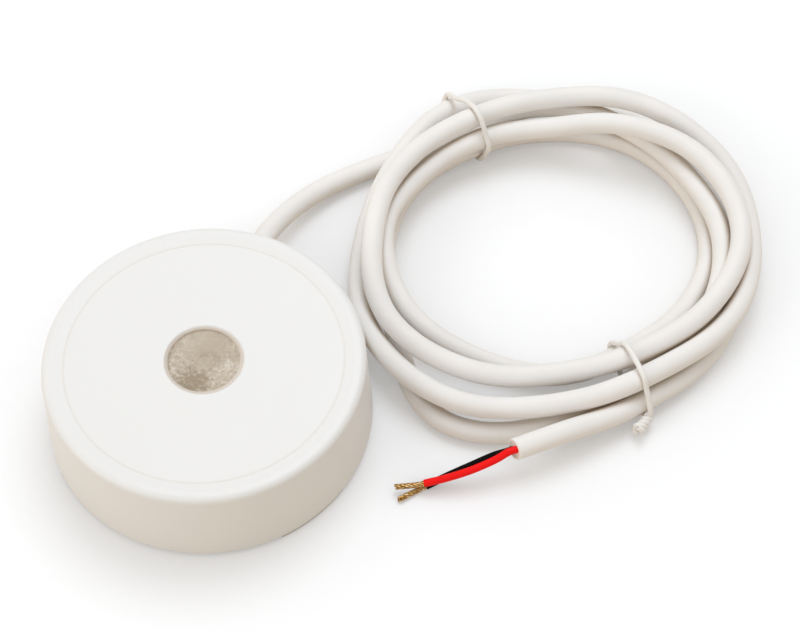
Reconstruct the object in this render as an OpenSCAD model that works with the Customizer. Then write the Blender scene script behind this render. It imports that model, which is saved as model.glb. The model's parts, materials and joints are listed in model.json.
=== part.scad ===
// Wired water leak sensor: a round two-piece body with a window in its top,
// a circuit board with two contacts under the base, and a tied coil of two-core cable.
// The origin is the middle of the underside, on the floor; +Z is up and +Y points to the back.

/* [Body] */
// Outside diameter of the round body at its top
body_d = 54; // [52:0.5:58]
// How much wider the wall stands at the bottom, measured on the radius
draft = 0.8; // [0:0.1:1]
// Height of the body from the floor to its rim
body_h = 17.4; // [16.8:0.2:20]
// Thickness of the cover's side wall
wall = 1.8; // [1.4:0.1:2.2]
// Thickness of the cover's top plate
top_t = 1.7; // [1.4:0.1:2]
// Radius of the rounded top edge
edge_r = 1.2; // [0.8:0.1:1.6]
// Width of the raised rim round the top
rim_w = 1.9; // [1.7:0.1:3]
// Depth of the shallow dish inside the rim
dish_depth = 0.3; // [0.1:0.05:0.5]
// Run of the slope from the dish up to the rim
dish_slope = 1.7; // [0.6:0.1:2]
// Size of the small chamfers on the cover's edges
edge_break = 0.4; // [0.2:0.1:0.6]

/* [Window] */
// Diameter of the window in the top
window_d = 12.6; // [11:0.1:13.5]
// Depth of the lens below the top
window_recess = 0.55; // [0.3:0.05:1]
// Depth of the hollow in the lens face
lens_hollow = 0.35; // [0.1:0.05:0.5]
// Diameter of the moulded ring in the middle of the lens
lens_ring_d = 3; // [1.6:0.1:4]
// Width and height of that ring
lens_ring_w = 0.3; // [0.2:0.05:0.4]
// Diameter of the pocket over the status light
lens_pocket_d = 5; // [4.5:0.1:6]
// How far the lens flange reaches under the top plate
lens_flange_w = 2.2; // [1.4:0.1:3]
// Thickness of the lens flange
lens_flange_t = 1.2; // [0.8:0.1:1.4]
// Thickness of the ring that holds the lens
retainer_t = 1; // [0.6:0.1:1.2]
// Wall of the collar round the lens flange
collar_w = 1.2; // [0.8:0.1:1.6]

/* [Base] */
// Thickness of the base plate
base_t = 2; // [1.8:0.1:2.4]
// Height of the foot pads
foot_h = 0.6; // [0.4:0.05:0.8]
// Number of foot pads
foot_count = 3; // [3:1:5]
// Angle that one foot pad spans
foot_arc = 28; // [16:1:40]
// Direction of the first foot pad
foot_turn = -48; // [-60:1:-30]
// Width of a foot pad along the radius
foot_w = 4.2; // [3:0.1:6]
// Inset of the foot pads from the body's bottom edge
foot_inset = 0.3; // [0.1:0.05:0.6]
// Thickness of the round gasket on the base's edge
gasket_d = 1.2; // [0.8:0.1:1.4]
// Diameter of the three pegs that hold the cover
peg_d = 3; // [2.4:0.1:3.4]
// Length of a peg
peg_len = 2.9; // [2:0.1:3.2]
// Wall round a peg's socket, and shoulder of the post above it
peg_wall = 1.1; // [0.9:0.1:1.3]
// Space between a post and the cover's side wall
post_inset = 1; // [0.6:0.1:1.6]

/* [Contacts] */
// Shank diameter of a contact screw
contact_d = 2.4; // [2:0.1:2.8]
// Head diameter of a contact screw
contact_head_d = 5.2; // [4.4:0.1:6]
// Height of a contact screw's head
contact_head_h = 1; // [0.7:0.1:1.2]
// Height of the contact heads above the floor
contact_lift = 0.2; // [0.1:0.05:0.3]
// Distance between the two contacts
contact_gap = 17; // [14:0.5:19]
// Thickness of a contact nut
nut_h = 1.3; // [1:0.1:1.6]
// Width of a contact nut across its corners
nut_d = 4.6; // [4.4:0.1:5.2]

/* [Board] */
// Space between the circuit board and the cover's posts
board_gap = 2.5; // [1.5:0.1:3]
// Thickness of the circuit board
board_t = 1.6; // [1:0.1:1.8]
// Height of the posts under the board
board_lift = 3; // [2.4:0.1:3.4]
// Space between the cable's inner end and the board's flat side
board_clear = 4; // [3:0.1:4.5]
// Distance of the board screws from the board's edge
screw_inset = 3.5; // [3:0.1:4]
// Shank diameter of the small screws
screw_d = 1.7; // [1.4:0.1:2]
// Head diameter of the small screws
screw_head_d = 3.2; // [2.6:0.1:3.6]
// Head height of the small screws
screw_head_h = 1.1; // [0.8:0.1:1.4]
// Outside diameter of the posts under the board
standoff_d = 4.8; // [4.4:0.1:5.4]
// Diameter of the status light
led_d = 3; // [2:0.1:4]
// Space between the status light and the lens over it
led_clear = 2.3; // [2:0.1:3]
// Space between the filter capacitor and the ring that holds the lens
capacitor_clear = 1.2; // [0.8:0.1:2]

/* [Cable entry] */
// Direction in which the cable leaves the body
exit_turn = 76; // [72:1:80]
// Height of the cable where it leaves the body
exit_h = 6; // [5.6:0.1:6.4]
// Rubber round the cable in the wall
neck_wall = 1.3; // [1:0.1:1.6]
// Extra radius of the grommet's flanges
flange_rise = 0.9; // [0.6:0.1:1.2]
// Thickness of the grommet's flanges
flange_t = 1.1; // [0.8:0.1:1.4]
// Length of the boot outside the wall
boot_len = 4.6; // [4:0.1:5.4]
// Rubber round the cable at the boot's tip
boot_tip = 0.6; // [0.4:0.1:0.9]
// Length of loose cable inside the clamp
entry_spare = 2; // [1:0.1:2.4]
// Length of the cable clamp along the cable
clamp_len = 5; // [4:0.1:6]
// Width of the cable clamp
clamp_w = 13; // [12:0.1:14]
// Height of the clamp's upper half
clamp_h = 3; // [2.6:0.1:3.6]
// Space between the clamp and the grommet
clamp_inset = 1.2; // [0.6:0.1:1.6]
// Space between the cable and the clamp screws' heads
clamp_margin = 1; // [0.6:0.1:1.2]

/* [Cable] */
// Outside diameter of the cable
cable_d = 3.8; // [3.4:0.1:3.8]
// Diameter of a core with its insulation
core_d = 1.3; // [1:0.1:1.4]
// Diameter of a bare copper end
copper_d = 1; // [0.7:0.1:1.1]
// Thickness of the ties
tie_d = 0.8; // [0.6:0.05:0.85]
// Number of twists in a tie's end
tie_twists = 2; // [1:1:3]

/* [Fits] */
// Radial clearance of pieces that slot together
fit_gap = 0.05; // [0.03:0.01:0.1]
// Space between pieces that seat on each other
seat_gap = 0.1; // [0.05:0.05:0.2]
// Space between the base plate and the cover's wall
slide_gap = 0.3; // [0.2:0.05:0.4]
// Space round the grommet in the cover's notch
notch_gap = 0.2; // [0.1:0.05:0.3]

/* [Hidden] */
$fn = 64;
// Overshoot of cuts
over = 1;

// Levels and radii of the body
body_r = body_d / 2;
bottom_r = body_r + draft;
cavity_r = body_r - wall;
dish_z = body_h - dish_depth;
ceiling_z = dish_z - top_t;
rim_in_r = body_r - rim_w;
cover_bottom = foot_h + seat_gap;
window_r = window_d / 2;
lens_flange_r = window_r + lens_flange_w;
lens_bottom = ceiling_z - lens_flange_t;
pocket_z = lens_bottom + lens_flange_t / 2;
retainer_bottom = lens_bottom - retainer_t;
collar_r = lens_flange_r + fit_gap;
base_top = foot_h + base_t;
base_r = cavity_r - slide_gap;
gasket_r = cavity_r - fit_gap - gasket_d / 2;
gasket_z = foot_h + base_t / 2;
board_z = base_top + board_lift;
board_top = board_z + board_t;

// Pegs, posts and sockets of the cover
post_r = peg_d / 2 + peg_wall;
post_ring = cavity_r - post_r - post_inset;
peg_tip = base_top + seat_gap;
peg_root = peg_tip + peg_len;
socket_top = peg_root - seat_gap;
post_turns = [exit_turn + 60, exit_turn + 180, exit_turn - 60];

// Grommet and cable entry, measured from the middle of the body along the cable
cable_r = cable_d / 2;
neck_r = cable_r + neck_wall;
flange_r = neck_r + flange_rise;
inner_flange_end = sqrt(cavity_r ^ 2 - flange_r ^ 2) - seat_gap;
inner_flange_start = inner_flange_end - flange_t;
outer_flange_start = bottom_r + seat_gap;
boot_end = body_r + boot_len;
notch_w = 2 * (neck_r + notch_gap);
notch_step = 15;
clamp_mid = inner_flange_start - clamp_inset - clamp_len / 2;
clamp_screw_across = cable_r + screw_head_d / 2 + clamp_margin;
clamp_spots = [for (side = [-1, 1]) [clamp_mid, side * clamp_screw_across]];
entry_start = clamp_mid - clamp_len / 2 - entry_spare;
saddle_top = exit_h - fit_gap;
clamp_bottom = exit_h + fit_gap;

// Places on the board, along the cable's direction and across it
board_r = post_ring - post_r - board_gap;
board_flat = entry_start - board_clear;
contact_along = -6.5;
contact_spots = [for (side = [-1, 1]) [contact_along, side * contact_gap / 2]];
screw_ring = board_r - screw_inset;
screw_turn = 74;
screw_spots = [for (side = [-1, 1]) screw_ring * [cos(screw_turn), side * sin(screw_turn)]];
pad_inset = 3.3;
pad_along = board_flat - pad_inset;
pad_gap = 5;
pad_spots = [for (side = [-1, 1]) [pad_along, side * pad_gap / 2]];
// How the inner wires rise over the board's flat side, from that side and from the board's top
wire_rise = [[1.6, 1.1, 0.8], [-0.2, 1.7, 2], [-2, 2.3, 2.6]];
chip_spot = [-6, 0];
capacitor_spot = [3.4, -5.2];
transistor_spot = [3.5, 6];
resistor_spots = [[-1.5, 5.2], [-1.5, 7.6], [-1.5, -5.2], [-1.5, -7.6]];
ceramic_spots = [[-11.5, 2.6], [-11.5, -2.6], [6.2, 0]];
// Sizes of the bought parts on the board
chip_size = [3.9, 4.9, 1.5];
leg_pitch = 1.27;
leg_w = 0.42;
leg_t = 0.2;
leg_reach = 1.05;
resistor_size = [2, 1.25, 0.5];
ceramic_size = [1.25, 2, 0.9];
terminal_len = 0.4;
capacitor_d = 4;
capacitor_h = retainer_bottom - board_top - capacitor_clear;
transistor_size = [1.4, 3, 1];
transistor_pitch = 1.9;
pad_d = 2.2;
pad_h = 0.8;
led_h = pocket_z - board_top - led_clear;
led_rim = 0.4;
led_rim_h = 1;

// The routes below were chosen for a body of this radius, and move outward with a wider one
route_r = 27;
coil_place = [60.5, 32.5, 0];
coil_shift = (body_r - route_r) * coil_place / norm(coil_place);
coil_mid = coil_place + coil_shift;

// Route of the cable: the free lead, the coil and the free tail
exit_dir = [cos(exit_turn), sin(exit_turn), 0];
lead_start = boot_end * exit_dir + [0, 0, exit_h];
lead_points = [
  [9.3, 35.2, 5.2], [11.4, 38.8, 4.2], [14.6, 42.8, 3.2], [18.6, 46.4, 2.5],
  [23.2, 49.4, 2], [28, 51.8, 1.9], [33, 54, 1.9], [37.4, 56, 1.9]
];
tail_points = [
  [70, -2.5, 3.9], [65.7, -4.8, 4.7], [61.3, -6.9, 5.6], [57.2, -8.7, 6], [51.7, -10.8, 5.8]
];

// The coil: how far the cable lies from the coil's middle, and how high, at the twelve hours
// of each turn. It starts behind the left and runs clockwise; the last turn is part of one.
coil_start_turn = 120;
hours = 12;
coil_reach = [
  [31.4, 30.9, 28.6, 28.2, 29.7, 30.1, 29.5, 35.6, 41, 33.4, 30.9, 29.7],
  [27.1, 27.5, 28.6, 28.7, 27.9, 25.7, 24.9, 26.2, 27.5, 30.7, 30.9, 28],
  [25.4, 24, 25.7, 30.4, 32.7, 30.7, 28.4, 28.6, 32.9, 35.4, 32.3, 30.4],
  [28.1, 28.6, 32.8, 35.7, 35, 34.4, 32.8, 34.8, 38.9, 38.6, 34.5, 33.3],
  [35.6, 35, 34.2, 33.4, 32.4, 33.6, 34.5]
];
coil_height = [
  [2.8, 5.3, 6.2, 6.2, 5.9, 4.4, 3.1, 1.9, 1.9, 1.9, 1.9, 1.9],
  [2.8, 1.9, 1.9, 1.9, 1.9, 1.9, 3, 1.9, 2.8, 5.8, 7.9, 6.2],
  [7, 7.6, 10.6, 10.4, 9.2, 8.9, 7.7, 6.6, 7.4, 8.9, 12, 10],
  [10.4, 10.4, 9.3, 6.2, 5.3, 6.5, 7.3, 6.8, 6.3, 5.9, 4.7, 6.1],
  [5, 1.9, 1.9, 1.9, 1.9, 1.9, 2.9]
];
rings_per_loop = 24;
coil_sides = 6;
cord_sides = 8;
gap_checks_per_hour = 8;
// Part of an hour over which the coil's direction at its two ends is taken
aim_step = 0.1;

// Ties: reach from the coil's middle and height of each tie as it goes round the bundle
back_tie_turn = 120.5;
back_tie_ring = [
  [37.7, 4], [38.1, 5.6], [37.3, 7.4], [34.4, 9.2], [30.8, 12], [28.2, 12.9], [26.1, 12.2],
  [24.2, 9.5], [22.9, 7.2], [23.5, 5], [24.7, 2.2], [26, 0.5], [29.2, 0.4], [32.4, 0.4],
  [35.2, 1.6], [36.9, 2.8]
];
back_tie_knot = [0.2, 0.5, -0.9];
front_tie_turn = -67;
front_tie_ring = [
  [37.9, 3.1], [37.6, 4.5], [36.7, 5.9], [35.5, 7.6], [34.4, 9.3], [32.9, 9.9], [28.2, 10.1],
  [26.4, 9.3], [25.5, 7.5], [23.3, 4.8], [22.5, 2.9], [23, 0.9], [24.4, 0.4], [30.2, 0.4],
  [34.6, 0.4], [36.8, 0.8], [37.8, 1.9]
];
front_tie_knot = [-0.6, -0.7, -0.4];
knot_len = 3.6;
knot_rings = 12;
// Tilt that keeps a tie's rings from turning over where it runs straight out
tie_tilt = 0.01;

// Stripped end: the two cores and their bare copper
core_offset = 0.7;
core_turn = 57;
red_points = [[48.7, -12.4, 5.4], [44.5, -13.9, 4.3], [40.2, -14.8, 3.1], [36.6, -15.2, 2.05]];
black_points = [
  [48.5, -11.3, 4.8], [44.4, -12.7, 3.7], [40.4, -13.8, 2], [38, -14.5, 0.9], [36.9, -15, 0.7]
];
red_copper_tip = [31.6, -15.6, 1.5];
black_copper_tip = [32.2, -17.6, 0.7];

// Vector helpers
function unit(v) = v / norm(v);
function polar(turn, reach, z) = [reach * cos(turn), reach * sin(turn), z];
function flatten(rows) = [for (row = rows) for (value = row) value];
function clip(i, list) = list[min(max(i, 0), len(list) - 1)];
function last_of(list) = list[len(list) - 1];
function tangent(path, i) = unit(clip(i + 1, path) - clip(i - 1, path));
function moved(points, shift) = [for (point = points) point + shift];
function sum_of(values) = values * [for (value = values) 1];
function length_of(path) = sum_of([for (i = [1:len(path) - 1]) norm(path[i] - path[i - 1])]);

// Smooth curve through a list of values, at a place counted in list steps
function smooth(list, s) =
  let (
    i = min(floor(s), len(list) - 2),
    t = s - i,
    a = clip(i - 1, list),
    b = clip(i, list),
    c = clip(i + 1, list),
    d = clip(i + 2, list)
  )
  b + t * (c - a) / 2 + t ^ 2 * (2 * a - 5 * b + 4 * c - d) / 2 + t ^ 3 * (3 * b - a - 3 * c + d) / 2;

// Places along the coil, at a place counted in hours from its start
reach_list = flatten(coil_reach);
height_list = flatten(coil_height);
coil_hours = len(reach_list) - 1;
function coil_at(s) =
  coil_mid + polar(
    coil_start_turn - s * 360 / hours,
    smooth(reach_list, s),
    max(cable_r, smooth(height_list, s))
  );
function coil_points(per_hour) = [for (k = [0:coil_hours * per_hour]) coil_at(k / per_hour)];

coil_rings = coil_points(rings_per_loop / hours);
coil_in_dir = unit(coil_at(aim_step) - coil_at(0));
coil_out_dir = unit(coil_at(coil_hours) - coil_at(coil_hours - aim_step));
coil_first = coil_rings[0] - cable_d * coil_in_dir;
coil_last = last_of(coil_rings) + cable_d * coil_out_dir;
coil_path = concat([coil_first], coil_rings, [coil_last]);

// The lead's points follow the body at its start and the coil at its end
body_shift = (body_r - route_r) * exit_dir;
lead_middle = [
  for (i = [0:len(lead_points) - 1])
    let (share = i / (len(lead_points) - 1))
      lead_points[i] + share * coil_shift + (1 - share) * body_shift
];
lead_path = concat(
  [lead_start, lead_start + cable_r * exit_dir],
  lead_middle,
  [coil_first - cable_r * coil_in_dir, coil_first]
);
tail_path = concat([coil_last, coil_last + cable_r * coil_out_dir], moved(tail_points, coil_shift));

// Least space between the coil's turns, measured on closely spaced points
gap_points = coil_points(gap_checks_per_hour);
least_gap = min([
  for (i = [0:len(gap_points) - 1])
    for (j = [i + hours * gap_checks_per_hour / 2:1:len(gap_points) - 1])
      norm(gap_points[i] - gap_points[j]) - cable_d
]);
echo(least_coil_gap = least_gap);
echo(cable_length = length_of(lead_path) + length_of(coil_path) + length_of(tail_path));

// The stripped end of the tail
jacket_end = last_of(tail_path);
jacket_dir = tangent(tail_path, len(tail_path) - 1);
jacket_side = unit(cross(jacket_dir, [0, 0, 1]));
jacket_up = cross(jacket_side, jacket_dir);
core_side = cos(core_turn) * jacket_side - sin(core_turn) * jacket_up;
function core_path(side, points) =
  let (start = jacket_end + side * core_offset * core_side)
  concat([start, start + core_d * jacket_dir], moved(points, coil_shift));
red_path = core_path(-1, red_points);
black_path = core_path(1, black_points);
function copper_path(path, tip) =
  let (start = last_of(path), dir = tangent(path, len(path) - 1))
  [start, start + copper_d * dir, tip + coil_shift];

// A tie: a twisted end, once round the bundle, and the other half of the twist
function twist(root, dir, side, up) = [
  for (k = [1:knot_rings])
    root + dir * knot_len * k / knot_rings
    + (tie_d / 2 + fit_gap) * side
    * (cos(360 * tie_twists * k / knot_rings) * up
    + sin(360 * tie_twists * k / knot_rings) * cross(dir, up))
];
function tie_path(turn, round_points, knot_dir) =
  let (
    ring_points = [for (spot = round_points) coil_mid + polar(turn, spot[0], spot[1])],
    first = ring_points[0],
    last = last_of(ring_points),
    root = (first + last) / 2,
    up = unit(first - last),
    dir = unit(knot_dir - (knot_dir * up) * up),
    start_twist = twist(root, dir, 1, up),
    end_twist = twist(root, dir, -1, up)
  )
  concat(
    [for (k = [knot_rings - 1:-1:0]) start_twist[k]],
    ring_points,
    end_twist
  );

// Solid tube along a path; turned_from fixes how its rings are turned
module tube(path, d, sides, turned_from = [0, 0, 1]) {
  points = [
    for (i = [0:len(path) - 1])
      let (t = tangent(path, i), a = unit(cross(t, turned_from)), b = cross(a, t))
        for (k = [0:sides - 1]) path[i] + d / 2 * (cos(360 * k / sides) * a + sin(360 * k / sides) * b)
  ];
  last = (len(path) - 1) * sides;
  skin = [
    for (i = [0:len(path) - 2])
      for (k = [0:sides - 1])
        let (a = i * sides + k, b = i * sides + (k + 1) % sides)
          each [[a, b, b + sides], [a, b + sides, a + sides]]
  ];
  caps = [for (k = [1:sides - 2]) each [[0, k + 1, k], [last, last + k, last + k + 1]]];
  polyhedron(points, concat(skin, caps));
}

// Place children in the board's own directions: along the cable, then across it
module at_spots(spots, z) {
  for (spot = spots) rotate(exit_turn) translate([spot[0], spot[1], z]) children();
}
module along_cable(start) {
  translate([0, 0, exit_h]) rotate(exit_turn) rotate([0, 90, 0]) translate([0, 0, start]) children();
}
module at_posts(z) {
  for (turn = post_turns) rotate(turn) translate([post_ring, 0, z]) children();
}
module ring(r_out, r_in, h) {
  difference() {
    cylinder(r = r_out, h = h);
    translate([0, 0, -over]) cylinder(r = r_in, h = h + 2 * over);
  }
}

// Cover: half of its cross-section, with the rounded edge, rim, dish and window
module cover_section() {
  difference() {
    union() {
      translate([0, cover_bottom]) square([body_r - edge_r, body_h - cover_bottom]);
      polygon([
        [0, cover_bottom], [bottom_r, cover_bottom], [body_r, body_h - edge_r], [0, body_h - edge_r]
      ]);
      translate([body_r - edge_r, body_h - edge_r]) circle(edge_r);
    }
    translate([-over, cover_bottom - over]) square([cavity_r + over, ceiling_z - cover_bottom + over]);
    translate([-over, cover_bottom]) square([window_r + over, body_h]);
    polygon([
      [0, dish_z], [rim_in_r - dish_slope, dish_z], [rim_in_r, body_h], [rim_in_r, body_h + over],
      [0, body_h + over]
    ]);
    polygon([
      [window_r - over, dish_z - edge_break - over], [window_r + edge_break + over, dish_z + over],
      [window_r - over, dish_z + over]
    ]);
    polygon([
      [bottom_r - edge_break, cover_bottom], [bottom_r + over, cover_bottom - over],
      [bottom_r + over, cover_bottom + edge_break + over], [bottom_r, cover_bottom + edge_break]
    ]);
  }
}

// Notch for the cable: an arch over the grommet, open at the bottom
module notch_section() {
  notch_r = notch_w / 2;
  arch = [for (turn = [90:notch_step:270]) notch_r * [cos(turn), sin(turn)]];
  polygon(concat(arch, [[exit_h, -notch_r], [exit_h, notch_r]]));
}

module top_cover() {
  root_z = ceiling_z + top_t / 2;
  color("white") difference() {
    union() {
      rotate_extrude() cover_section();
      translate([0, 0, retainer_bottom]) ring(collar_r + collar_w, collar_r, root_z - retainer_bottom);
      at_posts(peg_root) cylinder(r = post_r, h = root_z - peg_root);
      at_posts(peg_tip) cylinder(d = peg_d, h = root_z - peg_tip);
    }
    along_cable(cavity_r - wall) linear_extrude(3 * wall) notch_section();
  }
}

// Lens: a flange under the top plate and a barrel in the window, with a hollow face
module window_lens() {
  lens_r = window_r - fit_gap;
  pocket_r = lens_pocket_d / 2;
  ring_r = lens_ring_d / 2;
  face_z = dish_z - window_recess;
  hollow_z = face_z - lens_hollow;
  color("tan") rotate_extrude() polygon([
    [0, pocket_z], [pocket_r, pocket_z], [pocket_r, lens_bottom], [lens_flange_r, lens_bottom],
    [lens_flange_r, ceiling_z - fit_gap], [lens_r, ceiling_z - fit_gap], [lens_r, face_z],
    [ring_r, hollow_z], [ring_r, hollow_z + lens_ring_w],
    [ring_r - lens_ring_w, hollow_z + lens_ring_w], [ring_r - lens_ring_w, hollow_z], [0, hollow_z]
  ]);
}

module lens_retainer() {
  color("gainsboro") translate([0, 0, retainer_bottom])
    ring(lens_flange_r, window_r - edge_break, retainer_t);
}

// Base: the plate with its posts, sockets, cable saddle and the tab that fills the cover's notch
module base_plate() {
  groove_w = gasket_d + 2 * fit_gap;
  tab_w = notch_w - 2 * notch_gap;
  tab_end = bottom_r - foot_inset;
  color("white") difference() {
    union() {
      difference() {
        union() {
          translate([0, 0, foot_h]) cylinder(r = base_r, h = base_t);
          at_posts(gasket_z) cylinder(r = post_r, h = socket_top - gasket_z);
        }
        rotate_extrude() translate([gasket_r - groove_w / 2, gasket_z - groove_w / 2])
          square([groove_w + slide_gap, groove_w]);
      }
      at_spots(concat(contact_spots, screw_spots), gasket_z)
        cylinder(d = standoff_d, h = board_z - gasket_z);
      rotate(exit_turn) {
        translate([clamp_mid - clamp_len / 2, -clamp_w / 2, gasket_z])
          cube([clamp_len, clamp_w, saddle_top - gasket_z]);
        translate([inner_flange_start - flange_t, -tab_w / 2, foot_h])
          cube([tab_end - inner_flange_start + flange_t, tab_w, exit_h - foot_h]);
      }
    }
    at_posts(base_top) cylinder(d = peg_d + 2 * fit_gap, h = body_h);
    at_spots(contact_spots, 0) cylinder(d = contact_d + 2 * fit_gap, h = body_h);
    at_spots(contact_spots, 0)
      cylinder(d = contact_head_d + 2 * seat_gap, h = contact_lift + contact_head_h);
    at_spots(concat(screw_spots, clamp_spots), base_top) cylinder(d = screw_d + 2 * fit_gap, h = body_h);
    along_cable(0) cylinder(d = cable_d + 2 * fit_gap, h = body_d);
    along_cable(inner_flange_start - flange_t - over) cylinder(r = neck_r + fit_gap, h = body_r);
    along_cable(inner_flange_start - flange_t - over)
      cylinder(r = flange_r + fit_gap, h = 2 * flange_t + over + fit_gap);
  }
}

module rim_gasket() {
  color("dimgray") difference() {
    rotate_extrude() translate([gasket_r, gasket_z]) circle(d = gasket_d);
    rotate(exit_turn) translate([0, -notch_w / 2, 0]) cube([body_r, notch_w, exit_h]);
  }
}

module foot_pads() {
  color("silver") for (i = [0:foot_count - 1])
    rotate(foot_turn - foot_arc / 2 + i * 360 / foot_count)
      rotate_extrude(angle = foot_arc) translate([bottom_r - foot_inset - foot_w, 0])
        square([foot_w, foot_h]);
}

// Circuit board and what is on it
module circuit_board() {
  color("darkgreen") difference() {
    translate([0, 0, board_z]) cylinder(r = board_r, h = board_t);
    rotate(exit_turn) translate([board_flat, -board_r, board_z - over])
      cube([board_r, 2 * board_r, board_t + 2 * over]);
    at_spots(contact_spots, base_top) cylinder(d = contact_d + 2 * fit_gap, h = body_h);
    at_spots(screw_spots, base_top) cylinder(d = screw_d + 2 * fit_gap, h = body_h);
  }
}

module small_screw(shank) {
  translate([0, 0, -shank]) cylinder(d = screw_d, h = shank);
  difference() {
    cylinder(d = screw_head_d, h = screw_head_h);
    for (turn = [0, 90])
      rotate(turn) translate([-screw_head_d / 3, -screw_d / 8, screw_head_h / 2])
        cube([2 * screw_head_d / 3, screw_d / 4, screw_head_h]);
  }
}

module board_screws() {
  color("silver") at_spots(screw_spots, board_top) small_screw(board_t + board_lift - seat_gap);
}

module contact_screws() {
  color("lightgray") at_spots(contact_spots, contact_lift) {
    cylinder(d = contact_head_d, h = contact_head_h);
    cylinder(d = contact_d, h = board_top + nut_h + edge_break - contact_lift);
  }
}

module contact_nuts() {
  color("silver") at_spots(contact_spots, board_top) difference() {
    cylinder(d = nut_d, h = nut_h, $fn = 6);
    translate([0, 0, -over]) cylinder(d = contact_d + 2 * fit_gap, h = nut_h + 2 * over);
  }
}

module status_led() {
  color("lightgreen") translate([0, 0, board_top]) {
    cylinder(d = led_d + 2 * led_rim, h = led_rim_h);
    cylinder(d = led_d, h = led_h - led_d / 2);
    translate([0, 0, led_h - led_d / 2]) sphere(d = led_d);
  }
}

module sensing_chip() {
  color("black") at_spots([chip_spot], board_top)
    translate([-chip_size[0] / 2, -chip_size[1] / 2, 0]) cube(chip_size);
}

// One bent leg of a chip, starting at the chip's side
module bent_leg(height) {
  translate([0, -leg_w / 2, height]) cube([leg_reach / 2, leg_w, leg_t]);
  translate([leg_reach / 2 - leg_t, -leg_w / 2, 0]) cube([leg_t, leg_w, height + leg_t]);
  translate([leg_reach / 2 - leg_t, -leg_w / 2, 0]) cube([leg_reach / 2 + leg_t, leg_w, leg_t]);
}

module chip_legs() {
  color("silver") at_spots([chip_spot], board_top)
    for (side = [0, 180])
      for (i = [-1.5:1.5])
        rotate(side) translate([chip_size[0] / 2, i * leg_pitch, 0]) bent_leg(chip_size[2] / 2);
}

module chip_resistors() {
  color("black") at_spots(resistor_spots, board_top)
    translate([-resistor_size[0] / 2 + terminal_len, -resistor_size[1] / 2, 0])
      cube(resistor_size - [2 * terminal_len, 0, 0]);
}

module chip_capacitors() {
  color("peru") at_spots(ceramic_spots, board_top)
    translate([-ceramic_size[0] / 2, -ceramic_size[1] / 2 + terminal_len, 0])
      cube(ceramic_size - [0, 2 * terminal_len, 0]);
}

module part_terminals() {
  color("silver") {
    at_spots(resistor_spots, board_top)
      for (end = [-resistor_size[0] / 2, resistor_size[0] / 2 - terminal_len])
        translate([end, -resistor_size[1] / 2, 0])
          cube([terminal_len, resistor_size[1], resistor_size[2]]);
    at_spots(ceramic_spots, board_top)
      for (end = [-ceramic_size[1] / 2, ceramic_size[1] / 2 - terminal_len])
        translate([-ceramic_size[0] / 2, end, 0])
          cube([ceramic_size[0], terminal_len, ceramic_size[2]]);
  }
}

module filter_capacitor() {
  groove = capacitor_d / 16;
  color("midnightblue") at_spots([capacitor_spot], board_top) difference() {
    cylinder(d = capacitor_d, h = capacitor_h);
    translate([0, 0, capacitor_h / 5]) ring(capacitor_d, capacitor_d / 2 - groove, 2 * groove);
    for (turn = [0, 60, 120])
      rotate(turn) translate([-capacitor_d / 3, -groove / 4, capacitor_h - groove])
        cube([2 * capacitor_d / 3, groove / 2, 2 * groove]);
  }
}

module output_transistor() {
  color("black") at_spots([transistor_spot], board_top)
    translate([-transistor_size[0] / 2, -transistor_size[1] / 2, 0]) cube(transistor_size);
}

module transistor_legs() {
  color("silver") at_spots([transistor_spot], board_top) {
    for (i = [-0.5, 0.5])
      translate([transistor_size[0] / 2, i * transistor_pitch, 0]) bent_leg(transistor_size[2] / 2);
    rotate(180) translate([transistor_size[0] / 2, 0, 0]) bent_leg(transistor_size[2] / 2);
  }
}

module solder_joints() {
  color("silver") at_spots(pad_spots, board_top) cylinder(d1 = pad_d, d2 = core_d, h = pad_h);
}

// A core inside the body, from the cable's inner end down to its pad
module inner_wire(side) {
  rise = [for (point = wire_rise) [board_flat + point[0], side * point[1], board_top + point[2]]];
  pad = [pad_along, side * pad_gap / 2, board_top + pad_h];
  start = [entry_start, side * core_offset, exit_h];
  path = concat([start, start - [core_d, 0, 0]], rise, [pad + [0, 0, core_d], pad]);
  rotate(exit_turn) tube(path, core_d, cord_sides, [0, 1, 0]);
}

module inner_red_wire() { color("red") inner_wire(-1); }
module inner_black_wire() { color("black") inner_wire(1); }

// Cable entry: the cable through the wall, its clamp and its grommet
module cable_entry() {
  color("ivory") along_cable(entry_start) cylinder(d = cable_d, h = boot_end - entry_start);
}

module cable_clamp() {
  color("gainsboro") difference() {
    rotate(exit_turn) translate([clamp_mid - clamp_len / 2, -clamp_w / 2, clamp_bottom])
      cube([clamp_len, clamp_w, clamp_h]);
    along_cable(0) cylinder(d = cable_d + 2 * fit_gap, h = body_r);
    at_spots(clamp_spots, 0) cylinder(d = screw_d + 2 * fit_gap, h = body_h);
  }
}

module clamp_screws() {
  color("silver") at_spots(clamp_spots, clamp_bottom + clamp_h)
    small_screw(clamp_bottom + clamp_h - base_top - seat_gap);
}

module cable_grommet() {
  bore = cable_r + fit_gap;
  color("ivory") along_cable(0) rotate_extrude() polygon([
    [bore, inner_flange_start], [flange_r, inner_flange_start],
    [flange_r, inner_flange_end], [neck_r, inner_flange_end],
    [neck_r, outer_flange_start], [flange_r, outer_flange_start],
    [flange_r, outer_flange_start + flange_t], [neck_r, outer_flange_start + flange_t],
    [cable_r + boot_tip, boot_end], [bore, boot_end]
  ]);
}

// Cable outside the body
module cable_lead() { color("ivory") tube(lead_path, cable_d, cord_sides); }
module cable_coil() { color("ivory") tube(coil_path, cable_d, coil_sides); }
module cable_tail() { color("ivory") tube(tail_path, cable_d, cord_sides); }

module cable_tie(turn, round_points, knot_dir) {
  path = tie_path(turn, round_points, knot_dir);
  tube(path, tie_d, cord_sides, [sin(turn), -cos(turn), tie_tilt]);
}

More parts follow.
